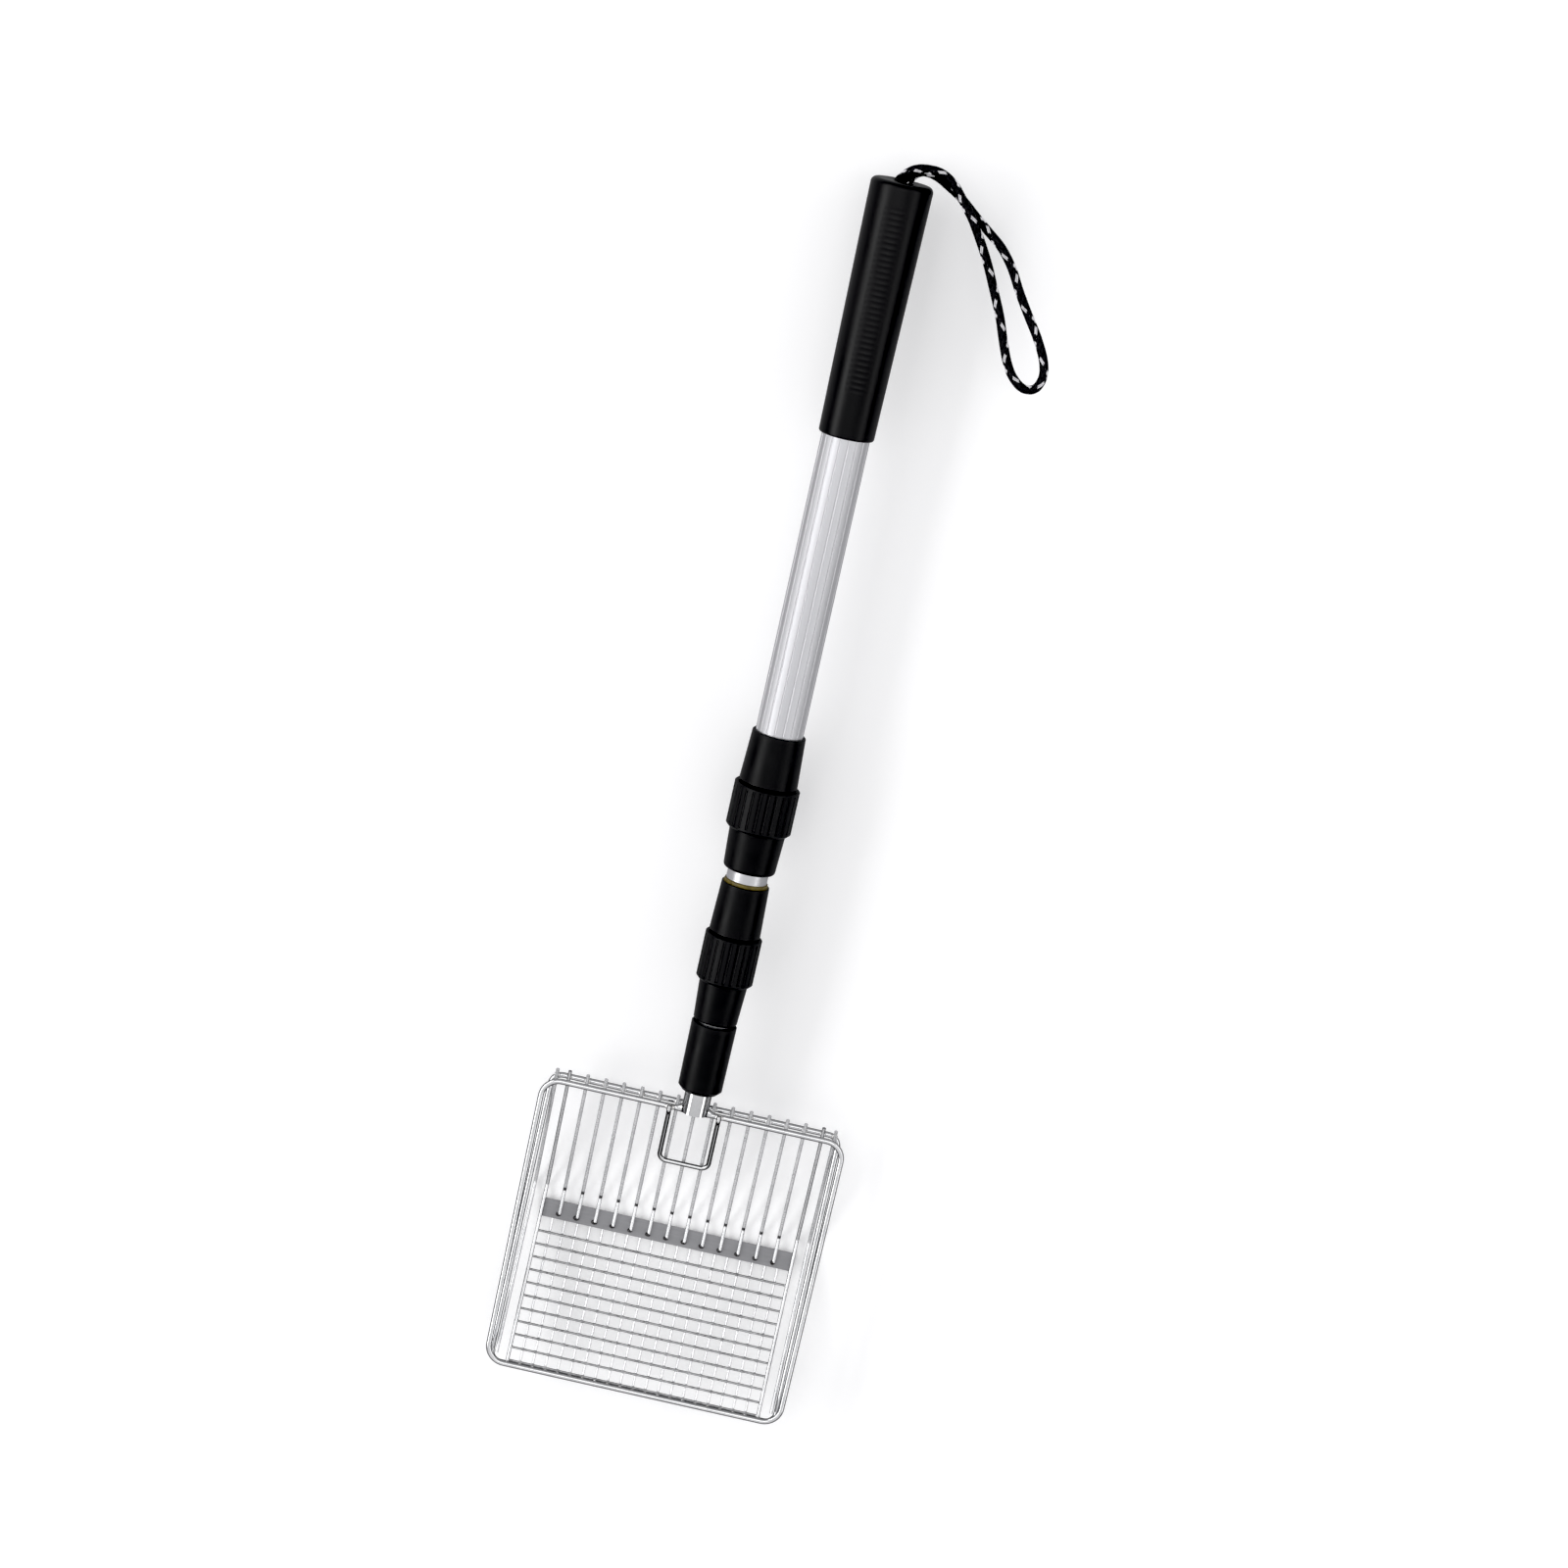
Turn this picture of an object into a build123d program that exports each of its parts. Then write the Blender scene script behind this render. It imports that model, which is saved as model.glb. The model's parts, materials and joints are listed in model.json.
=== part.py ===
from build123d import *
import os
from dataclasses import dataclass
from math import cos, radians, sin

# Wire-basket scoop on a three-section twist-lock telescopic pole, shown collapsed.
# Millimetres. The pole lies along Y with its grip at +Y and the basket at -Y. The basket's
# mouth opens upward, +Z. The origin is on the pole's axis, at the middle of the mouth rim's
# back wire, and the mouth rim lies in the plane Z = 0.

os.makedirs("parts", exist_ok=True)

# ---------------------------------------------------------------- driving dimensions

# Basket wires
RIM_WIRE_R = 1.5
ROD_R = 0.95
MESH_WIRE_R = 0.6
BRACE_WIRE_R = 1.25

# Mouth rim: its wire's centre line, a round-cornered loop a little narrower at the front
MOUTH_BACK_HALF = 81.1
MOUTH_FRONT_HALF = 80.2
MOUTH_LENGTH = 161.5
MOUTH_CORNER_R = 9.5

# Lower rim: hangs below the mouth rim at the back and meets it at the front
LOWER_BACK_HALF = 77.9
LOWER_FRONT_HALF = 78.3
LOWER_CORNER_R = 6.0
LOWER_BACK_DROP = 11.8

# Floor: rises from the bend line to the front of the mouth
FLOOR_SLOPE = 17.0
BEND_Y = -67.6
BEND_R = 2.0
ROD_PITCH = 9.83
ROD_COUNT = 15
ROD_OVERHANG = 4.2
STRIP_WIDTH = 10.0
STRIP_FROM_BEND = 7.2
STRIP_HALF_SPAN = 69.6
ROD_END_FROM_BEND = 14.5
EDGE_ROD_SETBACK = 2.2
CROSS_WIRE_COUNT = 11
CROSS_WIRE_PITCH = 7.1
LONG_WIRE_GAPS = 20
LONG_WIRE_OVERHANG = 1.6

# Side rails
RAIL_X = 75.4
RAIL_LIFT = 0.8
RAIL_SETBACK = 5.0

# Brace loop: a U of thick wire hooked over the mouth rim
BRACE_HALF = 13.35
BRACE_REACH = 35.6
BRACE_CORNER_R = 4.0
BRACE_BEND_R = 2.2
BRACE_LANDING_Y = -6.0
BRACE_TAIL = 1.2

# Ferrule and tip socket
FERRULE_R = 7.2
FERRULE_WALL = 1.0
FERRULE_END = 36.0
SOCKET_START = 11.9
SOCKET_END = 50.2
SOCKET_START_R = 11.7
SOCKET_END_R = 12.05
SOCKET_EDGE = 2.2

# Pole tubes: outside radius, inside radius and ends
OUTER_R, OUTER_BORE_R = 12.5, 11.4
MIDDLE_R, MIDDLE_BORE_R = 10.8, 9.8
INNER_R, INNER_BORE_R = 9.1, 8.2
OUTER_TUBE_END = 492.5
MIDDLE_TUBE_END = 452.0
INNER_TUBE_START, INNER_TUBE_END = 18.0, 412.0
FLUTE_COUNT = 18
FLUTE_HALF_WIDTH = 0.5
FLUTE_DEPTH = 0.3
RUNNING_GAP = 0.05

# Grip and cord
GRIP_START, GRIP_END = 368.0, 499.5
GRIP_START_R, GRIP_END_R = 14.35, 16.05
GRIP_EDGE = 0.8
GRIP_END_ROUND = 3.0
GRIP_END_WALL = 5.0
PLUG_FLANGE = 2.0
PLUG_DEPTH = 14.0
CORD_HOLE_R = 4.9
CORD_R = 2.3
STRAND_OFFSET = 2.4
KNOT_R = 8.5
KNOT_LENGTH = 12.0
STUB_HEIGHT = 2.5


@dataclass
class TwistLock:
    """One twist lock: a threaded collar on the wider tube, a split collet and a nut."""

    seat_y: float  # where collar and nut meet
    wide_r: float  # outside of the tube that carries the collar
    slim_r: float  # outside of the tube that is clamped
    collar_length: float
    mouth_r: float
    flange_r: float
    thread_r: float
    ring_r: float
    ring_length: float
    nose_start_r: float
    nose_end_r: float
    nose_length: float
    nose_round: float
    rib_count: int
    collet_start_r: float
    collet_end_r: float


UPPER = TwistLock(
    seat_y=181.8, wide_r=OUTER_R, slim_r=MIDDLE_R,
    collar_length=27.9, mouth_r=14.05, flange_r=15.35, thread_r=14.6,
    ring_r=17.2, ring_length=24.6, nose_start_r=14.8, nose_end_r=13.75,
    nose_length=22.2, nose_round=2.0, rib_count=26,
    collet_start_r=13.4, collet_end_r=12.0,
)
LOWER = TwistLock(
    seat_y=99.6, wide_r=MIDDLE_R, slim_r=INNER_R,
    collar_length=28.1, mouth_r=12.6, flange_r=13.55, thread_r=12.5,
    ring_r=15.05, ring_length=26.1, nose_start_r=12.8, nose_end_r=11.65,
    nose_length=22.3, nose_round=1.2, rib_count=24,
    collet_start_r=11.5, collet_end_r=10.2,
)
TUBE_SEAT_DEPTH = 6.0
SEAL_DEPTH = 2.0
SEAL_R = 12.0
SEAL_LIP = 0.6
SEAL_LIP_HEIGHT = 1.8
COLLAR_LIP_GAP = 0.4
THREAD_LENGTH = 16.2
THREAD_PITCH = 1.8
THREAD_DEPTH = 0.7
COLLET_LENGTH = 19.0
COLLET_SLOT = 1.6
COLLET_GAP = 0.2
NUT_GAP = 0.3
NUT_CHAMFER = 0.6
RIB_GROOVE_R = 0.9
RIB_GROOVE_OFFSET = 0.5
RIB_MARGIN = 1.6
GUIDE_LENGTH = 18.0
GUIDE_CAP = 2.0
GUIDE_VENT_R = 3.0


# ---------------------------------------------------------------- planes and helpers

def across(y):
    """A plane square to the pole at the given y, facing the grip."""
    return Plane(origin=(0, y, 0), x_dir=(1, 0, 0), z_dir=(0, 1, 0))


def turned(outline):
    """A solid of revolution about the pole from an outline of (radius, y) points."""
    with BuildPart() as body:
        with BuildSketch(Plane.XY):
            with BuildLine():
                Polyline(*outline, close=True)
            make_face()
        revolve(axis=Axis.Y)
    return body


# The floor plane holds the strip's middle. Its normal points into the basket.
floor_along = (0, -cos(radians(FLOOR_SLOPE)), sin(radians(FLOOR_SLOPE)))
floor_normal = (0, sin(radians(FLOOR_SLOPE)), cos(radians(FLOOR_SLOPE)))


def floor_point(distance, height):
    """The (y, z) of a point on the floor: distance from the bend line, height above it."""
    return (
        bend_y + distance * floor_along[1] + height * floor_normal[1],
        bend_z + distance * floor_along[2] + height * floor_normal[2],
    )


# Layers of the floor, measured from the strip's middle: mesh wires that run to the front lie
# below the strip and are held between the two rims, cross wires lie on them, rods on those.
long_wire_height = -2 * MESH_WIRE_R
rod_height = MESH_WIRE_R + ROD_R
mouth_front_height = long_wire_height + MESH_WIRE_R + RIM_WIRE_R
lower_front_height = long_wire_height - MESH_WIRE_R - RIM_WIRE_R
front_y = -MOUTH_LENGTH - mouth_front_height * floor_normal[1]
front_z = -mouth_front_height * floor_normal[2]
bend_y = BEND_Y
floor_length = (front_y - bend_y) / floor_along[1]
bend_z = front_z - floor_length * floor_along[2]

rod_start_z = -LOWER_BACK_DROP + RIM_WIRE_R + ROD_R + 0.1
rod_bend_y, rod_bend_z = floor_point(0, rod_height)
rod_fall = (rod_bend_z - rod_start_z) / rod_bend_y


def rod_z(y):
    """Height of the back rods' centre line where it runs down to the bend."""
    return rod_start_z + rod_fall * y


# ---------------------------------------------------------------- basket rims

def wire_loop(base, back_half, front_half, front_local_y, corner_r):
    """A closed, round-cornered loop of rim wire lying in the base plane."""
    with BuildPart() as loop:
        with BuildLine(base) as path:
            Polyline(
                (0, 0), (back_half, 0), (front_half, front_local_y),
                (-front_half, front_local_y), (-back_half, 0), close=True,
            )
            corners = path.vertices().filter_by(lambda corner: abs(corner.X) > corner_r)
            fillet(corners, corner_r)
        with BuildSketch(Plane(origin=path.line @ 0, z_dir=path.line % 0)):
            Circle(RIM_WIRE_R)
        sweep()
    return loop


mouth_rim = wire_loop(Plane.XY, MOUTH_BACK_HALF, MOUTH_FRONT_HALF, -MOUTH_LENGTH, MOUTH_CORNER_R)
mouth_rim.part.label = "mouth_rim"
export_step(mouth_rim.part, "parts/mouth_rim.step")

lower_front_y, lower_front_z = floor_point(floor_length, lower_front_height)
lower_back = Vector(0, 0, -LOWER_BACK_DROP)
lower_run = Vector(0, lower_front_y, lower_front_z) - lower_back
lower_plane = Plane(origin=lower_back, x_dir=(1, 0, 0), z_dir=Vector(1, 0, 0).cross(-lower_run))
lower_rim = wire_loop(
    lower_plane, LOWER_BACK_HALF, LOWER_FRONT_HALF, -lower_run.length, LOWER_CORNER_R
)
lower_rim.part.label = "lower_rim"
export_step(lower_rim.part, "parts/lower_rim.step")


# ---------------------------------------------------------------- rods and rails

def bent_wire(x, lift, end_distance):
    """One wire from the lower rim down to the bend line and on along the floor."""
    start = (ROD_OVERHANG, rod_z(ROD_OVERHANG) + lift)
    bend = (rod_bend_y, rod_bend_z)
    end = floor_point(end_distance, rod_height)
    with BuildPart() as wire:
        with BuildLine(Plane.YZ.offset(x)) as path:
            FilletPolyline(start, bend, end, radius=BEND_R)
        with BuildSketch(Plane(origin=path.line @ 0, z_dir=path.line % 0)):
            Circle(ROD_R)
        sweep()
    return wire.part


middle_rod = bent_wire(0, 0, ROD_END_FROM_BEND)
with BuildPart() as back_rods:
    with GridLocations(ROD_PITCH, 0, ROD_COUNT - 2, 1):
        add(middle_rod)
back_rods.part.label = "back_rods"
export_step(back_rods.part, "parts/back_rods.step")

edge_rod_x = ROD_PITCH * (ROD_COUNT - 1) / 2
edge_rod = bent_wire(0, 0, floor_length - EDGE_ROD_SETBACK)
with BuildPart() as edge_rods:
    with GridLocations(2 * edge_rod_x, 0, 2, 1):
        add(edge_rod)
edge_rods.part.label = "edge_rods"
export_step(edge_rods.part, "parts/edge_rods.step")

with BuildPart() as side_rails:
    add(bent_wire(RAIL_X, RAIL_LIFT, floor_length - RAIL_SETBACK))
    mirror(about=Plane.YZ)
side_rails.part.label = "side_rails"
export_step(side_rails.part, "parts/side_rails.step")


# ---------------------------------------------------------------- floor strip and mesh

strip_middle_y, strip_middle_z = floor_point(STRIP_FROM_BEND + STRIP_WIDTH / 2, 0)
strip_plane = Plane(
    origin=(0, strip_middle_y, strip_middle_z), x_dir=(1, 0, 0), z_dir=floor_normal
)
with BuildPart() as floor_strip:
    with BuildSketch(strip_plane):
        RectangleRounded(2 * STRIP_HALF_SPAN, STRIP_WIDTH, 1.0)
    extrude(amount=MESH_WIRE_R, both=True)
floor_strip.part.label = "floor_strip"
export_step(floor_strip.part, "parts/floor_strip.step")

long_wire_start = STRIP_FROM_BEND + 2.0
long_start_y, long_start_z = floor_point(long_wire_start, long_wire_height)
long_wire_pitch = 2 * edge_rod_x / LONG_WIRE_GAPS
with BuildPart() as floor_long_wires:
    long_plane = Plane(
        origin=(0, long_start_y, long_start_z), x_dir=(1, 0, 0), z_dir=floor_along
    )
    with BuildSketch(long_plane):
        with GridLocations(long_wire_pitch, 0, LONG_WIRE_GAPS - 1, 1):
            Circle(MESH_WIRE_R)
    extrude(amount=floor_length + LONG_WIRE_OVERHANG - long_wire_start)
floor_long_wires.part.label = "floor_long_wires"
export_step(floor_long_wires.part, "parts/floor_long_wires.step")

last_cross_distance = floor_length - RIM_WIRE_R - MESH_WIRE_R - 0.2
with BuildPart() as floor_cross_wires:
    cross_centres = [
        floor_point(last_cross_distance - i * CROSS_WIRE_PITCH, 0) for i in range(CROSS_WIRE_COUNT)
    ]
    with BuildSketch(Plane.YZ):
        with Locations(*cross_centres):
            Circle(MESH_WIRE_R)
    extrude(amount=edge_rod_x + ROD_R, both=True)
floor_cross_wires.part.label = "floor_cross_wires"
export_step(floor_cross_wires.part, "parts/floor_cross_wires.step")


# ---------------------------------------------------------------- brace loop

# Each leg hooks over the mouth rim, drops to the rods and lies on them down to the U's foot.
hook_reach = RIM_WIRE_R + BRACE_WIRE_R
brace_lift = (ROD_R + BRACE_WIRE_R) * 1.04


def brace_z(y):
    """Height of the brace's centre line where it lies on the rods."""
    return rod_z(y) + brace_lift


leg_points = [
    (BRACE_TAIL, hook_reach),
    (-hook_reach, hook_reach),
    (BRACE_LANDING_Y, brace_z(BRACE_LANDING_Y)),
    (-BRACE_REACH, brace_z(-BRACE_REACH)),
]
right_leg = [(BRACE_HALF, y, z) for y, z in leg_points]
left_leg = [(-BRACE_HALF, y, z) for y, z in reversed(leg_points)]
leg_bends = [BRACE_BEND_R, BRACE_BEND_R]
foot_bends = [BRACE_CORNER_R, BRACE_CORNER_R]
with BuildPart() as brace_loop:
    with BuildLine() as brace_path:
        FilletPolyline(*right_leg, *left_leg, radius=[*leg_bends, *foot_bends, *leg_bends])
    with BuildSketch(Plane(origin=brace_path.line @ 0, z_dir=brace_path.line % 0)):
        Circle(BRACE_WIRE_R)
    sweep()
brace_loop.part.label = "brace_loop"
export_step(brace_loop.part, "parts/brace_loop.step")


# ---------------------------------------------------------------- ferrule and tip socket

with BuildPart() as ferrule:
    with BuildSketch(across(-0.6)):
        Circle(FERRULE_R)
        Circle(FERRULE_R - FERRULE_WALL, mode=Mode.SUBTRACT)
    extrude(amount=FERRULE_END + 0.6)
    with BuildSketch(Plane.YZ):
        Circle(RIM_WIRE_R)
    extrude(amount=2 * FERRULE_R, both=True, mode=Mode.SUBTRACT)
ferrule.part.label = "ferrule"
export_step(ferrule.part, "parts/ferrule.step")

# The socket is one moulding: an outer sleeve over the inner tube, an inner sleeve between the
# tube and the ferrule, and a wall that joins them at the basket's end.
socket = turned([
    (FERRULE_R, SOCKET_START),
    (SOCKET_START_R - SOCKET_EDGE, SOCKET_START),
    (SOCKET_START_R, SOCKET_START + SOCKET_EDGE),
    (SOCKET_END_R, SOCKET_END - 0.5),
    (SOCKET_END_R - 0.5, SOCKET_END),
    (INNER_R, SOCKET_END),
    (INNER_R, INNER_TUBE_START),
    (INNER_BORE_R, INNER_TUBE_START),
    (INNER_BORE_R, FERRULE_END),
    (FERRULE_R, FERRULE_END),
])
socket.part.label = "tip_socket"
export_step(socket.part, "parts/tip_socket.step")


# ---------------------------------------------------------------- pole tubes

def plain_tube(start, end, outside, bore):
    """A round tube along the pole."""
    with BuildPart() as tube:
        with BuildSketch(across(start)):
            Circle(outside)
            Circle(bore, mode=Mode.SUBTRACT)
        extrude(amount=end - start)
    return tube


# The outer tube's outside is fluted: shallow round-bottomed grooves run its whole length.
groove_r = (FLUTE_HALF_WIDTH ** 2 + FLUTE_DEPTH ** 2) / (2 * FLUTE_DEPTH)
outer_start = UPPER.seat_y - TUBE_SEAT_DEPTH
with BuildPart() as outer_tube:
    with BuildSketch(across(outer_start)):
        Circle(OUTER_R)
        with PolarLocations(OUTER_R - FLUTE_DEPTH + groove_r, FLUTE_COUNT):
            Circle(groove_r, mode=Mode.SUBTRACT)
        Circle(OUTER_BORE_R, mode=Mode.SUBTRACT)
    extrude(amount=OUTER_TUBE_END - outer_start)
outer_tube.part.label = "outer_tube"
export_step(outer_tube.part, "parts/outer_tube.step")

middle_start = LOWER.seat_y - TUBE_SEAT_DEPTH
middle_tube = plain_tube(middle_start, MIDDLE_TUBE_END, MIDDLE_R, MIDDLE_BORE_R)
middle_tube.part.label = "middle_tube"
export_step(middle_tube.part, "parts/middle_tube.step")

inner_tube = plain_tube(INNER_TUBE_START, INNER_TUBE_END, INNER_R, INNER_BORE_R)
inner_tube.part.label = "inner_tube"
export_step(inner_tube.part, "parts/inner_tube.step")


# ---------------------------------------------------------------- guide plugs

def guide_plug(tube_end, tube_r, wide_bore_r):
    """A cap over a tube's hidden end that runs in the wider tube's bore."""
    guide_r = wide_bore_r - RUNNING_GAP
    return turned([
        (GUIDE_VENT_R, tube_end),
        (tube_r, tube_end),
        (tube_r, tube_end - GUIDE_LENGTH),
        (guide_r, tube_end - GUIDE_LENGTH),
        (guide_r, tube_end + GUIDE_CAP - NUT_CHAMFER),
        (guide_r - NUT_CHAMFER, tube_end + GUIDE_CAP),
        (GUIDE_VENT_R, tube_end + GUIDE_CAP),
    ])


middle_guide = guide_plug(MIDDLE_TUBE_END, MIDDLE_R, OUTER_BORE_R)
middle_guide.part.label = "middle_guide_plug"
export_step(middle_guide.part, "parts/middle_guide_plug.step")

inner_guide = guide_plug(INNER_TUBE_END, INNER_R, MIDDLE_BORE_R)
inner_guide.part.label = "inner_guide_plug"
export_step(inner_guide.part, "parts/inner_guide_plug.step")


# ---------------------------------------------------------------- twist locks

def lock_collar(lock, mouth_recess_r):
    """Collar: a sleeve on the wider tube with a threaded neck. Its thread is made of rings."""
    mouth_y = lock.seat_y + lock.collar_length
    neck_end = lock.seat_y - THREAD_LENGTH
    root_r = lock.thread_r - THREAD_DEPTH
    outline = [
        (lock.wide_r, lock.seat_y - TUBE_SEAT_DEPTH),
        (lock.wide_r, mouth_y - SEAL_DEPTH),
        (mouth_recess_r, mouth_y - SEAL_DEPTH),
        (mouth_recess_r, mouth_y),
        (lock.mouth_r - 0.4, mouth_y),
        (lock.mouth_r, mouth_y - 0.4),
        (lock.flange_r, lock.seat_y + 0.9),
        (lock.flange_r - 0.9, lock.seat_y),
        (root_r, lock.seat_y),
    ]
    ridge_count = int(THREAD_LENGTH / THREAD_PITCH) - 1
    for ridge in range(ridge_count):
        top = lock.seat_y - (ridge + 0.9) * THREAD_PITCH
        outline += [
            (root_r, top),
            (lock.thread_r, top - 0.4),
            (lock.thread_r, top - 0.8),
            (root_r, top - 1.2),
        ]
    slim_bore_r = lock.slim_r + RUNNING_GAP
    outline += [
        (root_r, neck_end),
        (slim_bore_r, neck_end),
        (slim_bore_r, lock.seat_y - TUBE_SEAT_DEPTH),
    ]
    return turned(outline)


def lock_collet(lock):
    """Collet: a tapered ring, split on one side, that the nut squeezes onto the tube."""
    start = lock.seat_y - THREAD_LENGTH - COLLET_GAP
    bore_r = lock.slim_r + RUNNING_GAP
    with BuildPart() as collet:
        with BuildSketch(Plane.XY):
            with BuildLine():
                Polyline(
                    (bore_r, start), (lock.collet_start_r, start),
                    (lock.collet_end_r, start - COLLET_LENGTH), (bore_r, start - COLLET_LENGTH),
                    close=True,
                )
            make_face()
        revolve(axis=Axis.Y)
        with BuildSketch(across(start - COLLET_LENGTH)):
            with Locations((0, lock.collet_start_r)):
                Rectangle(COLLET_SLOT, 2 * lock.collet_start_r - 1)
        extrude(amount=COLLET_LENGTH, mode=Mode.SUBTRACT)
    return collet


def lock_nut(lock):
    """Nut: a ribbed ring that turns on the collar's neck, and a cone-bored nose."""
    top = lock.seat_y - NUT_GAP
    ring_end = lock.seat_y - lock.ring_length
    nose_end = ring_end - lock.nose_length
    thread_bore_r = lock.thread_r + RUNNING_GAP
    cone_start = lock.seat_y - THREAD_LENGTH
    cone_end = cone_start - COLLET_LENGTH - 2 * COLLET_GAP
    outlet_r = lock.slim_r + 0.35
    with BuildPart() as nut:
        with BuildSketch(Plane.XY):
            with BuildLine():
                Polyline(
                    (outlet_r, nose_end),
                    (outlet_r, cone_end),
                    (lock.collet_end_r + RUNNING_GAP, cone_end),
                    (lock.collet_start_r + RUNNING_GAP, cone_start),
                    (thread_bore_r, cone_start),
                    (thread_bore_r, top),
                    (lock.ring_r - NUT_CHAMFER, top),
                    (lock.ring_r, top - NUT_CHAMFER),
                    (lock.ring_r, ring_end + 2 * NUT_CHAMFER),
                    (lock.ring_r - 2 * NUT_CHAMFER, ring_end),
                    (lock.nose_start_r, ring_end),
                    (lock.nose_end_r, nose_end + lock.nose_round),
                )
                nose_arc_end = (lock.nose_end_r - lock.nose_round, nose_end)
                RadiusArc(
                    (lock.nose_end_r, nose_end + lock.nose_round), nose_arc_end, lock.nose_round
                )
                Line(nose_arc_end, (outlet_r, nose_end))
            make_face()
        revolve(axis=Axis.Y)
        with BuildSketch(across(ring_end + RIB_MARGIN + NUT_CHAMFER)):
            with PolarLocations(lock.ring_r + RIB_GROOVE_OFFSET, lock.rib_count):
                Circle(RIB_GROOVE_R)
        extrude(
            amount=lock.ring_length - 2 * RIB_MARGIN - NUT_CHAMFER, mode=Mode.SUBTRACT
        )
    return nut


upper_collar = lock_collar(UPPER, OUTER_R + COLLAR_LIP_GAP)
upper_collar.part.label = "upper_collar"
export_step(upper_collar.part, "parts/upper_collar.step")

upper_collet = lock_collet(UPPER)
upper_collet.part.label = "upper_collet"
export_step(upper_collet.part, "parts/upper_collet.step")

upper_nut = lock_nut(UPPER)
upper_nut.part.label = "upper_lock_nut"
export_step(upper_nut.part, "parts/upper_lock_nut.step")

lower_collar = lock_collar(LOWER, SEAL_R)
lower_collar.part.label = "lower_collar"
export_step(lower_collar.part, "parts/lower_collar.step")

# Sealing ring in the lower collar's mouth, with a thin lip that stands up round the tube
ring_top = LOWER.seat_y + LOWER.collar_length
collar_ring = turned([
    (MIDDLE_R, ring_top - SEAL_DEPTH),
    (SEAL_R, ring_top - SEAL_DEPTH),
    (SEAL_R, ring_top),
    (MIDDLE_R + SEAL_LIP, ring_top),
    (MIDDLE_R + SEAL_LIP, ring_top + SEAL_LIP_HEIGHT - SEAL_LIP / 2),
    (MIDDLE_R + SEAL_LIP / 2, ring_top + SEAL_LIP_HEIGHT),
    (MIDDLE_R, ring_top + SEAL_LIP_HEIGHT),
])
collar_ring.part.label = "lower_collar_ring"
export_step(collar_ring.part, "parts/lower_collar_ring.step")

lower_collet = lock_collet(LOWER)
lower_collet.part.label = "lower_collet"
export_step(lower_collet.part, "parts/lower_collet.step")

lower_nut = lock_nut(LOWER)
lower_nut.part.label = "lower_lock_nut"
export_step(lower_nut.part, "parts/lower_lock_nut.step")


# ---------------------------------------------------------------- grip and end plug

end_plug = turned([
    (CORD_HOLE_R, OUTER_TUBE_END - PLUG_DEPTH),
    (OUTER_BORE_R, OUTER_TUBE_END - PLUG_DEPTH),
    (OUTER_BORE_R, OUTER_TUBE_END),
    (OUTER_R, OUTER_TUBE_END),
    (OUTER_R, OUTER_TUBE_END + PLUG_FLANGE),
    (CORD_HOLE_R, OUTER_TUBE_END + PLUG_FLANGE),
])
end_plug.part.label = "end_plug"
export_step(end_plug.part, "parts/end_plug.step")

with BuildPart() as grip:
    grip_inner_end = GRIP_END - GRIP_END_WALL
    with BuildSketch(Plane.XY):
        with BuildLine():
            Polyline(
                (GRIP_END_R - GRIP_END_ROUND, GRIP_END),
                (CORD_HOLE_R, GRIP_END),
                (CORD_HOLE_R, grip_inner_end),
                (OUTER_R, grip_inner_end),
                (OUTER_R, GRIP_START),
                (GRIP_START_R - GRIP_EDGE, GRIP_START),
                (GRIP_START_R, GRIP_START + GRIP_EDGE),
                (GRIP_END_R, GRIP_END - GRIP_END_ROUND),
            )
            RadiusArc(
                (GRIP_END_R, GRIP_END - GRIP_END_ROUND),
                (GRIP_END_R - GRIP_END_ROUND, GRIP_END),
                -GRIP_END_ROUND,
            )
        make_face()
    revolve(axis=Axis.Y)
grip.part.label = "grip_sleeve"
export_step(grip.part, "parts/grip_sleeve.step")


# ---------------------------------------------------------------- wrist cord

# The knot sits below the end plug. The doubled cord leaves it through the plug and the grip.
stub_r = CORD_HOLE_R - 2 * RUNNING_GAP
knot_top = OUTER_TUBE_END - PLUG_DEPTH - 0.4
knot_end = knot_top - KNOT_LENGTH
knot_shoulder = KNOT_R - stub_r
stub_top = GRIP_END + STUB_HEIGHT
with BuildPart() as cord_knot:
    with BuildSketch(Plane.XY):
        with BuildLine():
            Polyline(
                (0, knot_end), (stub_r, knot_end), (KNOT_R, knot_end + knot_shoulder),
                (KNOT_R, knot_top - knot_shoulder), (stub_r, knot_top),
                (stub_r, stub_top), (0, stub_top),
                close=True,
            )
        make_face()
    revolve(axis=Axis.Y)
cord_knot.part.label = "cord_knot"
export_step(cord_knot.part, "parts/cord_knot.step")

# The loop: up over the grip's end and down beside it. Its two strands lie one behind the
# other over the arch, cross, part and join in a round bight.
upper_arch = [(6.0, 7.2), (12.0, 8.8), (20.0, 7.5), (29.7, -0.7), (37.9, -10.5)]
inner_side = [(49.7, -29.7), (62.4, -55.6), (70.2, -75.8)]
bight = (83.0, -88.6)
outer_side = [(90.2, -79.0), (83.4, -62.2), (69.6, -41.6), (52.5, -19.5)]
lower_arch = [(39.5, -9.7), (25.6, 0.8), (15.0, 6.1), (6.5, 6.4)]
with BuildPart() as wrist_cord:
    with BuildLine() as cord_path:
        going = [(x, GRIP_END + y, STRAND_OFFSET) for x, y in upper_arch]
        round_loop = [(x, GRIP_END + y, 0) for x, y in [*inner_side, bight, *outer_side]]
        coming = [(x, GRIP_END + y, -STRAND_OFFSET) for x, y in lower_arch]
        Spline(*going, *round_loop, *coming)
    with BuildSketch(Plane(origin=cord_path.line @ 0, z_dir=cord_path.line % 0)):
        Circle(CORD_R)
    sweep()
wrist_cord.part.label = "wrist_cord"
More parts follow.
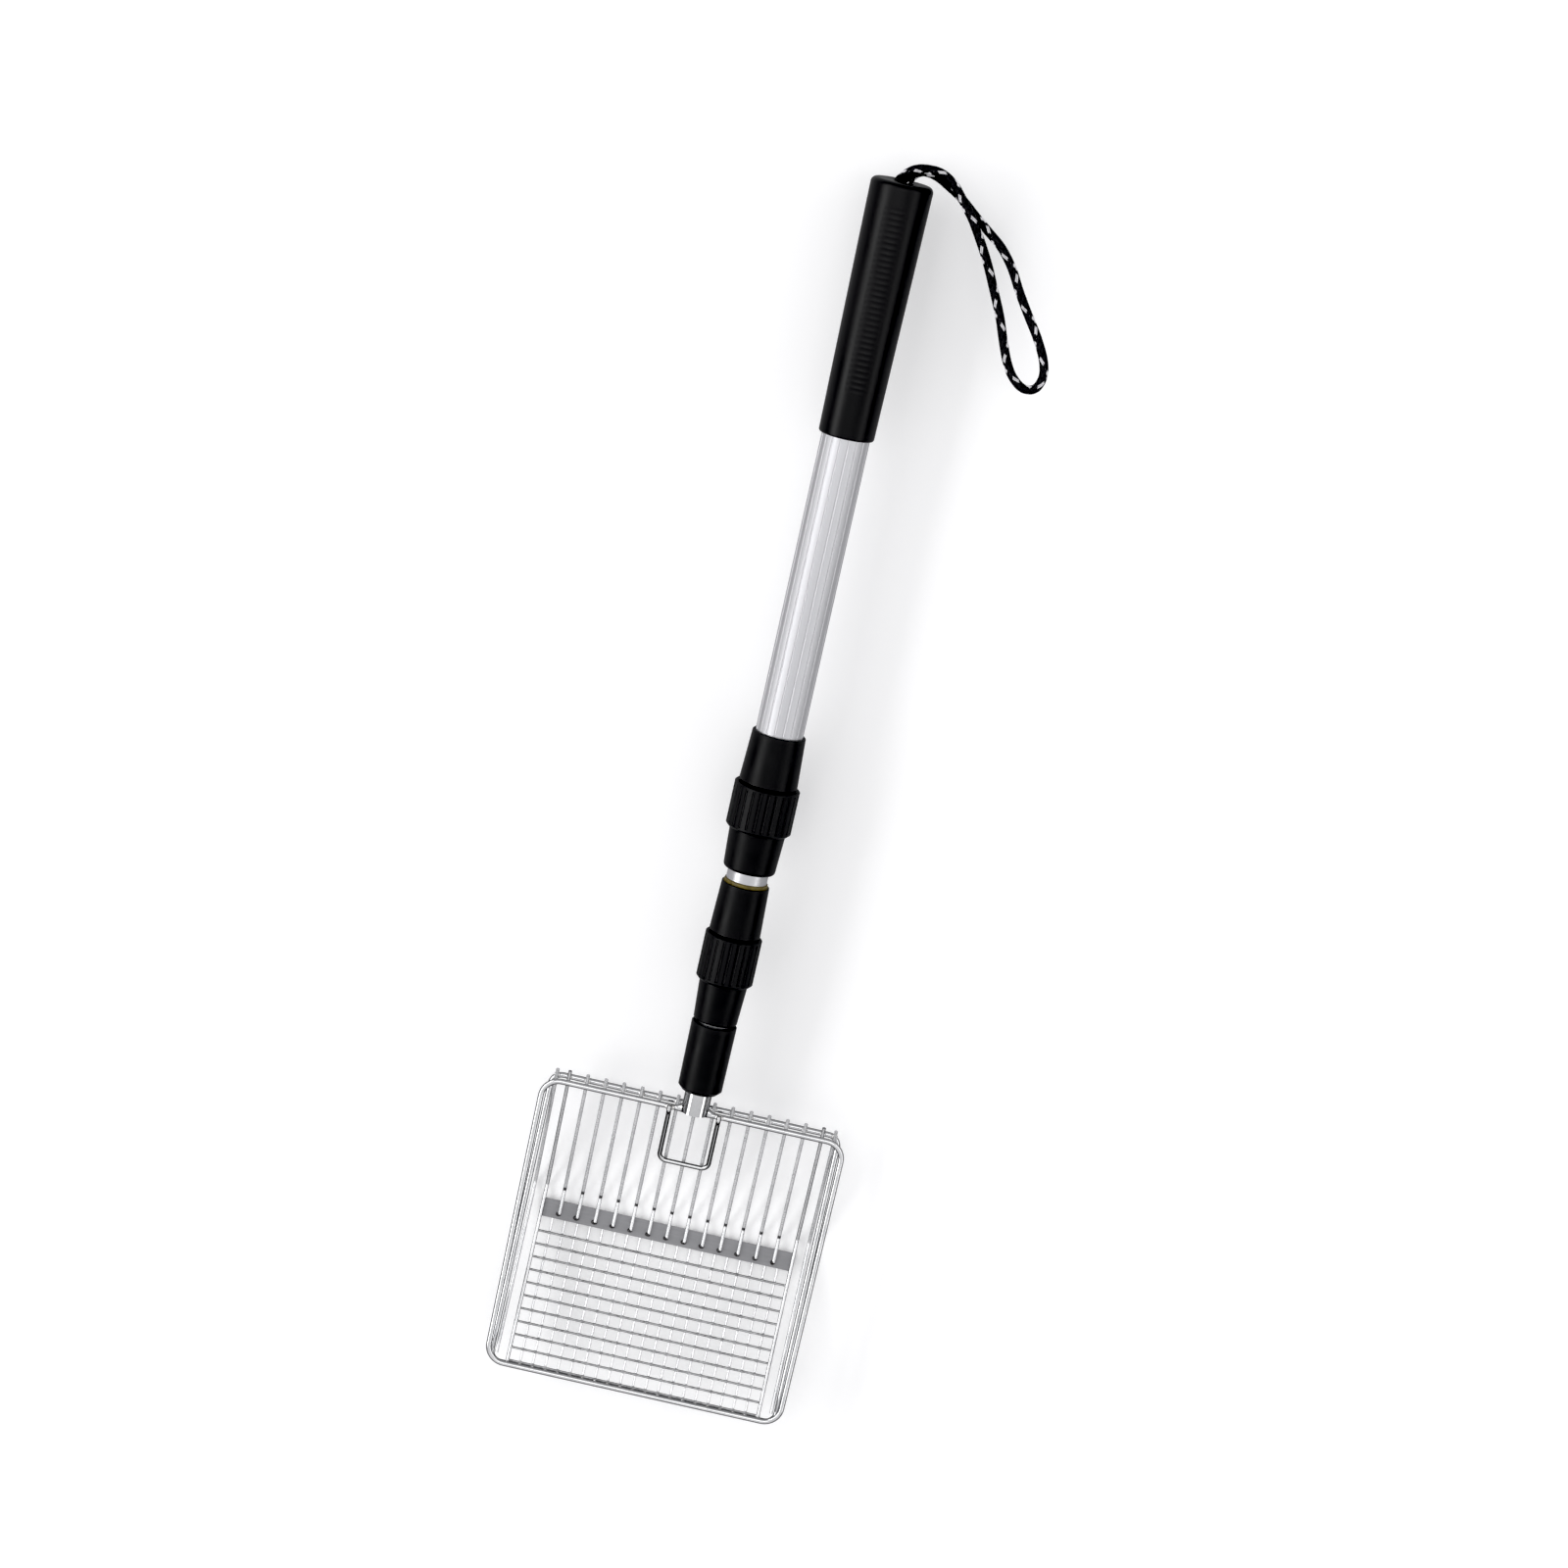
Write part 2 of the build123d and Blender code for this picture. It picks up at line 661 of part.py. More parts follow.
export_step(wrist_cord.part, "parts/wrist_cord.step")
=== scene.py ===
"""Looks for the telescopic wire-basket scoop: materials, grip, braided cord, weld beads, studio."""

import json
import math
import random

import bpy
import numpy as np
from mathutils import Matrix, Vector


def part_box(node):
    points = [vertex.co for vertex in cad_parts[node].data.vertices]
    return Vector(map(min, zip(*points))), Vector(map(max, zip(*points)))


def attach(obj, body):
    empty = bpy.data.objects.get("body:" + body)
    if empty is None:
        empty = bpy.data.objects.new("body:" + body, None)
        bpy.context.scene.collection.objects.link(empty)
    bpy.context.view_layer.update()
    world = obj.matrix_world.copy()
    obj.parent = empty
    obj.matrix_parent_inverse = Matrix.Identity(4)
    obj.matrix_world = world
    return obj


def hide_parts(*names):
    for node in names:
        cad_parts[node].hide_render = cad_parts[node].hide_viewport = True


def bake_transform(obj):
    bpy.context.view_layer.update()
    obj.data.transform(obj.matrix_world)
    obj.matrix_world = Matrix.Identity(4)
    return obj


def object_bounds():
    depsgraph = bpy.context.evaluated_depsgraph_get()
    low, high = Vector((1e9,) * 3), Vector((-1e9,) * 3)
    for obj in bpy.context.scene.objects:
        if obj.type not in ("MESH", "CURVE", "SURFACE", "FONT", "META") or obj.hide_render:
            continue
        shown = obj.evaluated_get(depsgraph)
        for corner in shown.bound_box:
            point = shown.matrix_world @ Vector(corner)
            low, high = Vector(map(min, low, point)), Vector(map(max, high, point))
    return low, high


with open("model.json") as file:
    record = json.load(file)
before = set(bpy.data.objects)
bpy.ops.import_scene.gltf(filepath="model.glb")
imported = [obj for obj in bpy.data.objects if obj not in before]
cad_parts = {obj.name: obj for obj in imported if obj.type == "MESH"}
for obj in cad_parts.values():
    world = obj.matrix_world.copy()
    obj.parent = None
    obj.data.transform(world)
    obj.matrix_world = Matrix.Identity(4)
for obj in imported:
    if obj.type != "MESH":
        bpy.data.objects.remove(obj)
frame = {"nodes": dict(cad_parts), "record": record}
cad_low, cad_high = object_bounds()
nodes = frame["nodes"]
MM = 0.001
X_AXIS = 0
Y_AXIS = 1
Z_AXIS = 2
BASKET_FLOOR_SLOPE = math.radians(17)
ROD_END_FROM_BEND = 14.5 * MM
random.seed(11)


# ---------------------------------------------------------------- measuring the frame

def points_of(node):
    """A CAD node's vertices as an array, in metres."""
    return np.array([vertex.co for vertex in nodes[node].data.vertices], float)


def clusters(values, gap=2 * MM):
    """The middles of the runs of values that lie closer together than gap."""
    ordered = np.sort(values)
    breaks = np.nonzero(np.diff(ordered) > gap)[0]
    starts = ordered[np.concatenate(([0], breaks + 1))]
    ends = ordered[np.concatenate((breaks, [len(ordered) - 1]))]
    return [float(value) for value in (starts + ends) / 2]


def middle_near(points, axis, value, reach):
    """The middle of the points whose coordinate on axis lies within reach of value."""
    near = points[np.abs(points[:, axis] - value) < reach]
    return Vector((near.min(0) + near.max(0)) / 2)


# ---------------------------------------------------------------- material helpers

class Finish:
    """A material with a Principled shader and short calls for the nodes that feed it."""

    # Sockets of a Mix node set to colours, which share their names with other kinds
    MIX_COLOUR_INPUTS = (6, 7)
    MIX_COLOUR_OUTPUT = 2

    def __init__(self, name):
        self.material = bpy.data.materials.new(name)
        self.material.use_nodes = True
        self.tree = self.material.node_tree
        self.shader = self.tree.nodes["Principled BSDF"]
        self.place = self.add("ShaderNodeTexCoord").outputs["Object"]

    def add(self, kind, **settings):
        node = self.tree.nodes.new(kind)
        for key, value in settings.items():
            setattr(node, key, value)
        return node

    def link(self, source, target):
        self.tree.links.new(source, target)

    def feed(self, name, value):
        """Sets or links one input of the shader."""
        target = self.shader.inputs[name]
        if isinstance(value, bpy.types.NodeSocket):
            self.link(value, target)
        else:
            target.default_value = value

    def noise(self, size, detail=3.0, stretch=(1, 1, 1), place=None):
        """Noise whose features are about size metres across, longer where stretch is below 1."""
        mapping = self.add("ShaderNodeMapping")
        mapping.inputs["Scale"].default_value = [factor / size for factor in stretch]
        self.link(place or self.place, mapping.inputs["Vector"])
        texture = self.add("ShaderNodeTexNoise")
        texture.inputs["Scale"].default_value = 1.0
        texture.inputs["Detail"].default_value = detail
        self.link(mapping.outputs["Vector"], texture.inputs["Vector"])
        return texture.outputs["Fac"]

    def spread(self, value, low, high, start=0.3, end=0.7):
        """Maps start..end of value to low..high, clamped."""
        node = self.add("ShaderNodeMapRange")
        node.inputs["From Min"].default_value = start
        node.inputs["From Max"].default_value = end
        node.inputs["To Min"].default_value = low
        node.inputs["To Max"].default_value = high
        self.link(value, node.inputs["Value"])
        return node.outputs["Result"]

    def blend(self, share, first, second):
        """A colour between first and second."""
        node = self.add("ShaderNodeMix", data_type="RGBA")
        self.link(share, node.inputs["Factor"])
        for value, socket in zip((first, second), self.MIX_COLOUR_INPUTS):
            if isinstance(value, bpy.types.NodeSocket):
                self.link(value, node.inputs[socket])
            else:
                node.inputs[socket].default_value = (*value, 1)
        return node.outputs[self.MIX_COLOUR_OUTPUT]

    def total(self, first, second, kind="ADD", clamp=True):
        """The sum of two values, or the result of another kind of Math node."""
        node = self.add("ShaderNodeMath", operation=kind, use_clamp=clamp)
        for value, target in zip((first, second), node.inputs):
            if isinstance(value, bpy.types.NodeSocket):
                self.link(value, target)
            else:
                target.default_value = value
        return node.outputs[0]

    def edges(self, start=0.52, end=0.6):
        """Near 1 on worn outer edges and 0 elsewhere."""
        geometry = self.add("ShaderNodeNewGeometry")
        return self.spread(geometry.outputs["Pointiness"], 0, 1, start, end)

    def bump(self, height, depth, strength=1.0):
        """Feeds a bump whose full height is depth metres."""
        node = self.add("ShaderNodeBump")
        node.inputs["Strength"].default_value = strength
        node.inputs["Distance"].default_value = depth
        self.link(height, node.inputs["Height"])
        self.feed("Normal", node.outputs["Normal"])

    def brushed(self, amount):
        """Stretches highlights across grain that runs along the pole."""
        tangent = self.add("ShaderNodeTangent", direction_type="RADIAL", axis="Y")
        self.link(tangent.outputs["Tangent"], self.shader.inputs["Tangent"])
        self.feed("Anisotropic", amount)


ALONG_POLE = (1, 0.004, 1)


def plated_steel(name, outline, painted_shade_start, rough, metallic=1.0, marked_y=None, tone=1.0):
    """Bright plated wire with faint clouding and drawing marks.

    Painted shade: sides that turn away from the viewer darken towards the colour outline,
    standing in for the dark reflections along the wire's edges; the argument after outline
    sets where the darkening starts. A dark band crosses the wire at marked_y. tone dims the
    plating.
    """
    painted_shade_fade = 0.2
    mark_half_width = 0.5 * MM
    mark_reach = 1.1 * MM
    finish = Finish(name)
    cloud = finish.noise(9 * MM, 4)
    streak = finish.noise(0.5 * MM, 3)
    dull = [tone * value for value in (0.68, 0.685, 0.7)]
    bright = [tone * value for value in (0.84, 0.84, 0.85)]
    plating = finish.blend(finish.spread(cloud, 0, 1), dull, bright)
    facing = finish.add("ShaderNodeLayerWeight")
    facing.inputs["Blend"].default_value = 0.5
    # Painted shade: the wire's turned-away sides darken towards outline, standing in for the dark
    # reflections along its edges
    painted_edge_shade = finish.spread(
        facing.outputs["Facing"], 0, 1, painted_shade_start, painted_shade_start + painted_shade_fade)
    colour = finish.blend(painted_edge_shade, plating, outline)
    # A dark band across the wire at marked_y, where the rods bend
    if marked_y is not None:
        parts = finish.add("ShaderNodeSeparateXYZ")
        finish.link(finish.place, parts.inputs["Vector"])
        nearness = finish.add("ShaderNodeMath", operation="ABSOLUTE")
        finish.link(finish.total(parts.outputs["Y"], -marked_y, clamp=False), nearness.inputs[0])
        mark = finish.spread(nearness.outputs[0], 1, 0, mark_half_width, mark_reach)
        colour = finish.blend(mark, colour, (0.035, 0.034, 0.036))
    finish.feed("Metallic", metallic)
    finish.feed("Base Color", colour)
    finish.feed("Roughness", finish.spread(
        finish.total(cloud, streak, "MULTIPLY"), rough, rough + 0.14, 0.1, 0.45))
    finish.bump(streak, 0.008 * MM, 0.4)
    return finish.material


def zinc_wire(name, dark, light):
    """Thin galvanised wire."""
    finish = Finish(name)
    spangle = finish.noise(2.5 * MM, 5)
    grain = finish.noise(0.25 * MM, 2)
    finish.feed("Metallic", 1.0)
    finish.feed("Base Color", finish.blend(
        finish.spread(spangle, 0, 1), dark, light))
    finish.feed("Roughness", finish.spread(spangle, 0.24, 0.4))
    finish.bump(grain, 0.008 * MM, 0.4)
    return finish.material


def rolled_strip():
    """Dull grey rolled strip with long faint scratches."""
    finish = Finish("strip_steel")
    cloud = finish.noise(4 * MM, 5)
    scratch = finish.noise(0.35 * MM, 3, (0.04, 1, 1))
    worn = finish.edges(0.51, 0.56)
    grey = finish.blend(finish.spread(cloud, 0, 1), (0.066, 0.067, 0.069), (0.128, 0.128, 0.131))
    finish.feed("Metallic", 0.8)
    finish.feed("Base Color", finish.blend(worn, grey, (0.26, 0.26, 0.27)))
    finish.feed("Roughness", finish.spread(scratch, 0.42, 0.58))
    finish.bump(scratch, 0.015 * MM, 0.5)
    return finish.material


def satin_aluminium(name, dark, light, rough, shine_spread):
    """Extruded tube: grain and die lines along the pole."""
    finish = Finish(name)
    die_lines = finish.noise(0.6 * MM, 3, ALONG_POLE)
    cloud = finish.noise(25 * MM, 3, (1, 0.4, 1))
    worn = finish.edges(0.53, 0.6)
    drawn = finish.total(die_lines, cloud, "MULTIPLY")
    tone = finish.blend(finish.spread(drawn, 0, 1, 0.15, 0.35), dark, light)
    finish.feed("Metallic", 1.0)
    finish.feed("Base Color", finish.blend(worn, tone, (0.62, 0.62, 0.64)))
    finish.feed("Roughness", finish.spread(die_lines, rough - 0.03, rough + 0.05))
    finish.brushed(shine_spread)
    finish.bump(die_lines, 0.005 * MM, 0.4)
    return finish.material


def moulded_plastic():
    """Semi-gloss black moulding, a little greyer and rougher on worn edges."""
    finish = Finish("lock_plastic")
    cloud = finish.noise(12 * MM, 4)
    grain = finish.noise(0.22 * MM, 2)
    worn = finish.edges(0.53, 0.62)
    black = finish.blend(
        finish.spread(cloud, 0, 1), (0.0022, 0.0022, 0.0026), (0.004, 0.004, 0.0045))
    finish.feed("Base Color", finish.blend(worn, black, (0.012, 0.012, 0.013)))
    finish.feed("Roughness", finish.total(
        finish.spread(cloud, 0.4, 0.48), finish.spread(worn, 0, 0.12, 0, 1)))
    finish.feed("Specular IOR Level", 0.28)
    finish.bump(grain, 0.006 * MM, 0.5)
    return finish.material


def collet_acetal():
    """Milky natural acetal."""
    finish = Finish("collet_plastic")
    cloud = finish.noise(5 * MM, 3)
    finish.feed("Base Color", finish.blend(
        finish.spread(cloud, 0, 1), (0.72, 0.71, 0.66), (0.84, 0.83, 0.79)))
    finish.feed("Roughness", finish.spread(cloud, 0.38, 0.52))
    finish.feed("Subsurface Weight", 0.15)
    finish.feed("Subsurface Scale", 1.5 * MM)
    finish.bump(finish.noise(0.3 * MM, 2), 0.01 * MM, 0.4)
    return finish.material


def seal_rubber():
    """Olive-amber sealing ring."""
    finish = Finish("seal_rubber")
    cloud = finish.noise(2 * MM, 4)
    finish.feed("Base Color", finish.blend(
        finish.spread(cloud, 0, 1), (0.07, 0.052, 0.01), (0.17, 0.13, 0.03)))
    finish.feed("Roughness", finish.spread(cloud, 0.4, 0.62))
    finish.bump(finish.noise(0.3 * MM, 2), 0.02 * MM, 0.5)
    return finish.material


def grip_rubber():
    """Moulded black rubber: fine grain, polished in use."""
    finish = Finish("grip_rubber")
    handled = finish.noise(22 * MM, 4, (1, 0.5, 1))
    grain = finish.noise(0.3 * MM, 3)
    worn = finish.edges(0.52, 0.6)
    black = finish.blend(
        finish.spread(handled, 0, 1), (0.0025, 0.0025, 0.003), (0.0048, 0.0046, 0.0052))
    finish.feed("Base Color", finish.blend(worn, black, (0.012, 0.012, 0.013)))
    finish.feed("Roughness", finish.spread(handled, 0.36, 0.42))
    finish.feed("Specular IOR Level", 0.3)
    finish.bump(grain, 0.004 * MM, 0.5)
    return finish.material


def yarn(name, dark, light):
    """Polyester yarn: filaments run along it. Its UV map is in metres along and round the yarn."""
    finish = Finish(name)
    strand = finish.add("ShaderNodeUVMap", uv_map="yarn").outputs["UV"]
    filaments = finish.noise(0.09 * MM, 2, (0.06, 1, 1), strand)
    cloud = finish.noise(1.6 * MM, 3)
    share = finish.spread(finish.total(filaments, cloud, "MULTIPLY"), 0, 1, 0.12, 0.4)
    finish.feed("Base Color", finish.blend(share, dark, light))
    finish.feed("Roughness", finish.spread(filaments, 0.42, 0.7))
    finish.feed("Specular IOR Level", 0.25)
    finish.feed("Sheen Weight", 0.02)
    finish.feed("Sheen Roughness", 0.35)
    finish.bump(filaments, 0.05 * MM, 0.7)
    return finish.material


def weld_metal(name, clean, burnt, metallic):
    """Weld metal under plating, rippled and a little burnt."""
    finish = Finish(name)
    ripple = finish.noise(0.8 * MM, 4)
    tint = finish.noise(3 * MM, 3)
    finish.feed("Metallic", metallic)
    finish.feed("Base Color", finish.blend(finish.spread(tint, 0, 1, 0.4, 0.65), clean, burnt))
    finish.feed("Roughness", finish.spread(ripple, 0.14, 0.38))
    finish.bump(ripple, 0.12 * MM, 0.6)
    return finish.material


# Colours of the painted shade along the plated wires' edges
BLACK_PAINTED_SHADE = (0.03, 0.03, 0.031)
DARK_PAINTED_SHADE = (0.05, 0.05, 0.053)
GREY_PAINTED_SHADE = (0.4, 0.4, 0.41)

# By material slot
finishes = {
    "chromed_steel": plated_steel("chromed_steel", DARK_PAINTED_SHADE, 0.3, 0.12, 0.95),
    "mesh_steel": zinc_wire("mesh_steel", (0.82, 0.825, 0.84), (0.94, 0.94, 0.95)),
    "strip_steel": rolled_strip(),
    "fluted_aluminium": satin_aluminium(
        "fluted_aluminium", (0.27, 0.267, 0.285), (0.6, 0.596, 0.616), 0.44, 0.5),
    "plain_aluminium": satin_aluminium(
        "plain_aluminium", (0.34, 0.337, 0.355), (0.46, 0.456, 0.476), 0.36, 0.4),
    "lock_plastic": moulded_plastic(),
    "collet_plastic": collet_acetal(),
    "seal_rubber": seal_rubber(),
    "grip_rubber": grip_rubber(),
    "cord_fabric": yarn("cord_fabric", (0.0025, 0.0025, 0.003), (0.011, 0.011, 0.013)),
}
pale_yarn = yarn("cord_fabric_pale", (0.6, 0.59, 0.62), (0.95, 0.94, 0.97))
bright_weld = weld_metal("weld_bright", (0.82, 0.82, 0.83), (0.64, 0.62, 0.6), 1.0)
# Near-black weld colour for the lumps at the rods' ends on the strip
dark_weld = weld_metal("weld_dark", (0.05, 0.048, 0.05), (0.014, 0.012, 0.012), 0.2)

# By node, where one differs from the rest of its slot
bend_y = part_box("back_rods")[0].y + ROD_END_FROM_BEND * math.cos(BASKET_FLOOR_SLOPE)
node_finishes = {
    # These copies differ in their painted edge shade: black for the brace and ferrule, dark for the
    # edge rods, grey for the rods and rails
    "brace_loop": plated_steel("chromed_brace", BLACK_PAINTED_SHADE, 0.08, 0.06),
    "ferrule": plated_steel("chromed_ferrule", BLACK_PAINTED_SHADE, 0.5, 0.05, tone=0.85),
    "back_rods": plated_steel("chromed_rods", GREY_PAINTED_SHADE, 0.5, 0.22, 0.6, bend_y),
    "edge_rods": plated_steel("chromed_edge_rods", DARK_PAINTED_SHADE, 0.3, 0.22, 0.8),
    "side_rails": plated_steel("chromed_rails", GREY_PAINTED_SHADE, 0.5, 0.22, 0.7),
    # Painted shade: the floor's cross wires get a darker copy of the mesh wire's colour, standing
    # in for the darker reflections they show
    "floor_cross_wires": zinc_wire("cross_wire_steel_painted_shade", (0.28, 0.28, 0.285), (0.58, 0.58, 0.59)),
}

for part in frame["record"]["subparts"]:
    data = nodes[part["node"]].data
    data.materials.clear()
    data.materials.append(node_finishes.get(part["node"], finishes[part["material_slot"]]))


# ---------------------------------------------------------------- mesh helpers

def new_piece(name, vertices, faces, materials, body=None):
    """A smooth-shaded mesh object that rides on a body, if one is named."""
    mesh = bpy.data.meshes.new(name)
    mesh.from_pydata([tuple(vertex) for vertex in vertices], [], faces)
    mesh.validate()
    mesh.polygons.foreach_set("use_smooth", [True] * len(mesh.polygons))
    for material in materials:
        mesh.materials.append(material)
    piece = bpy.data.objects.new(name, mesh)
    bpy.context.scene.collection.objects.link(piece)
    if body:
        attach(piece, body)
    return piece


def ring_faces(rows, columns, first=0):
    """Quads between consecutive closed rings of columns vertices each."""
    return [
        (
            first + row * columns + column,
            first + row * columns + (column + 1) % columns,
            first + (row + 1) * columns + (column + 1) % columns,
            first + (row + 1) * columns + column,
        )
        for row in range(rows - 1)
        for column in range(columns)
    ]


class Beads:
    """Collects small rounded weld nuggets and makes one piece of them."""

    ROWS = 7
    COLUMNS = 12
    UNEVENNESS = 0.1
    RIPPLE = 0.05

    def __init__(self):
        self.vertices = []
        self.faces = []

    def add(self, centre, along, up, half_size):
        """One nugget: a lumpy ellipsoid. half_size is its (length, width, height), in mm."""
        half_length, half_width, half_height = [value * MM for value in half_size]
        first = len(self.vertices)
        along = Vector(along).normalized()
        up = Vector(up).normalized()
        across = along.cross(up).normalized()
        lump = [random.uniform(1 - self.UNEVENNESS, 1 + self.UNEVENNESS) for _ in range(3)]
        lean = random.uniform(0, 2 * math.pi)
        for row in range(1, self.ROWS):
            latitude = math.pi * row / self.ROWS
            for column in range(self.COLUMNS):
                angle = 2 * math.pi * column / self.COLUMNS
                ripple = 1 + self.RIPPLE * math.sin(2 * angle + lean)
                aside = math.sin(latitude) * math.cos(angle)
                above = math.sin(latitude) * math.sin(angle)
                offset = (
                    along * (math.cos(latitude) * half_length * lump[0])
                    + across * (aside * half_width * lump[1] * ripple)
                    + up * (above * half_height * lump[2] * ripple)
                )
                self.vertices.append(Vector(centre) + offset)
        self.faces += ring_faces(self.ROWS - 1, self.COLUMNS, first)
        for end, row in ((1, 0), (-1, self.ROWS - 2)):
            tip = len(self.vertices)
            self.vertices.append(Vector(centre) + along * (end * half_length * lump[0]))
            for column in range(self.COLUMNS):
                here = first + row * self.COLUMNS + column
                beside = first + row * self.COLUMNS + (column + 1) % self.COLUMNS
                self.faces.append((tip, beside, here) if end == 1 else (tip, here, beside))

    def make(self, name, material):
        """The piece, in one mesh, riding with the basket."""
        piece = new_piece(name, self.vertices, self.faces, [material], "head")
        return piece


# ---------------------------------------------------------------- basket welds

WIRE_REACH = 2 * MM
cross_points = points_of("floor_cross_wires")
cross_wires = [
    middle_near(cross_points, Y_AXIS, y, WIRE_REACH)
    for y in clusters(cross_points[:, Y_AXIS])
]
floor_along = (cross_wires[0] - cross_wires[-1]).normalized()
floor_up = Vector((1, 0, 0)).cross(floor_along)
if floor_up.z < 0:
    floor_up = -floor_up
long_points = points_of("floor_long_wires")
long_x = clusters(long_points[:, X_AXIS])
rod_x = clusters(points_of("back_rods")[:, X_AXIS])
edge_x = clusters(points_of("edge_rods")[:, X_AXIS])
rail_x = clusters(points_of("side_rails")[:, X_AXIS])
mesh_r = long_points[:, X_AXIS].max() - max(long_x)
rim_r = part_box("mouth_rim")[1].z
lower_z = middle_near(points_of("lower_rim"), Y_AXIS, 0, 1.2 * rim_r).z
rim_front = Vector((0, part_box("mouth_rim")[0].y + rim_r, 0))


def mesh_welds():
    """Resistance-welded crossings of the floor's wires."""
    beads = Beads()
    for wire in cross_wires:
        for x in long_x:
            centre = Vector((x, wire.y, wire.z)) - floor_up * mesh_r
            beads.add(centre, floor_along, floor_up, (1.0, 0.85, 0.42))
        for x in edge_x:
            centre = Vector((x, wire.y, wire.z)) + floor_up * mesh_r
            beads.add(centre, (1, 0, 0), floor_up, (1.2, 0.7, 0.35))
    return beads.make("mesh_welds", finishes["mesh_steel"])


def front_welds():
    """Bright spots where the long wires meet the rims at the front."""
    beads = Beads()
    height_on_wire = 0.5 * MM
    on_wire = middle_near(long_points, X_AXIS, long_x[0], mesh_r * 1.5)
    reach = rim_front.y - on_wire.y
    for x in long_x + edge_x:
        centre = Vector((x, rim_front.y, on_wire.z + reach * floor_along.z / floor_along.y))
        beads.add(centre + floor_up * height_on_wire, floor_along, floor_up, (2.3, 1.0, 0.8))
    return beads.make("front_welds", bright_weld)


def back_welds():
    """Spots where the rods and rails cross the lower rim at the back."""
    beads = Beads()
    for x in rod_x + edge_x + rail_x:
        centre = (x, 0, lower_z + rim_r + 0.1 * MM)
        beads.add(centre, (0, 1, 0), (0, 0, 1), (1.5, 1.7, 0.7))
    return beads.make("back_welds", bright_weld)


def strip_welds():
    """Dark weld marks at the rods' ends on the strip."""
    beads = Beads()
    height = mesh_r + 0.05 * MM
    from_middle = 2.3 * MM
    aside = Vector((-0.4 * MM, 0, 0))
    strip_low, strip_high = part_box("floor_strip")
    strip_mid = (strip_low + strip_high) / 2
    for x in rod_x:
        on_strip = Vector((x, strip_mid.y, strip_mid.z)) + floor_up * height
        centre = on_strip + floor_along * from_middle
        beads.add(centre + aside, floor_along, floor_up, (1.3, 1.6, 1.9))
    return beads.make("strip_welds", dark_weld)


def brace_welds():
    """The brace's two hooks, welded on the mouth rim."""
    beads = Beads()
    hook_share = 0.6
    hook_gap = 5 * MM
    brace = points_of("brace_loop")
    hooks = brace[brace[:, Z_AXIS] > hook_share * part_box("brace_loop")[1].z]
    for x in clusters(hooks[:, X_AXIS], hook_gap):
        beads.add((x, 0, rim_r), (1, 0, 0), (0, 0, 1), (2.6, 1.7, 0.9))
    return beads.make("brace_welds", bright_weld)


def ferrule_flare():
    """Weld metal that flares from the ferrule's end out along the mouth rim, both sides."""
    columns = 20
    rows = 14
    tube_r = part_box("ferrule")[1].x
    inset = 2.2 * MM
    reach = 5.5 * MM
    thickening_y = 2.6 * MM
    thickening_z = 1.5 * MM
    thickening_front = 0.3 * MM
    shift = 1.9 * MM
    skin_r = rim_r * 1.03
    vertices, faces = [], []
    for side in (-1, 1):
        first = len(vertices)
        for row in range(rows):
            share = row / (rows - 1)
            x = tube_r - inset + reach * share
            fade = (1 - share) ** 2
            grow = skin_r + thickening_y * fade
            for column in range(columns):
                angle = 2 * math.pi * column / columns
                y = grow * math.cos(angle)
                z = (skin_r + thickening_z * fade) * math.sin(angle)
                if y > 0:
                    y = y + shift * fade
                else:
                    y = y * (skin_r + thickening_front * fade) / grow
                vertices.append((side * x, y, z))
        ring = ring_faces(rows, columns, first)
        caps = [
            tuple(range(first + columns - 1, first - 1, -1)),
            tuple(range(first + (rows - 1) * columns, first + rows * columns)),
        ]
        faces += ring + caps if side == 1 else [tuple(reversed(face)) for face in ring + caps]
    piece = new_piece("ferrule_flare", vertices, faces, [finishes["chromed_steel"]], "head")
    return piece


mesh_welds()
brace_welds()
ferrule_flare()
front_welds()
back_welds()
strip_welds()


# ---------------------------------------------------------------- grip

def quarter_turn(steps):
    """Even steps from 0 to a right angle."""
    return [math.pi / 2 * step / steps for step in range(steps + 1)]


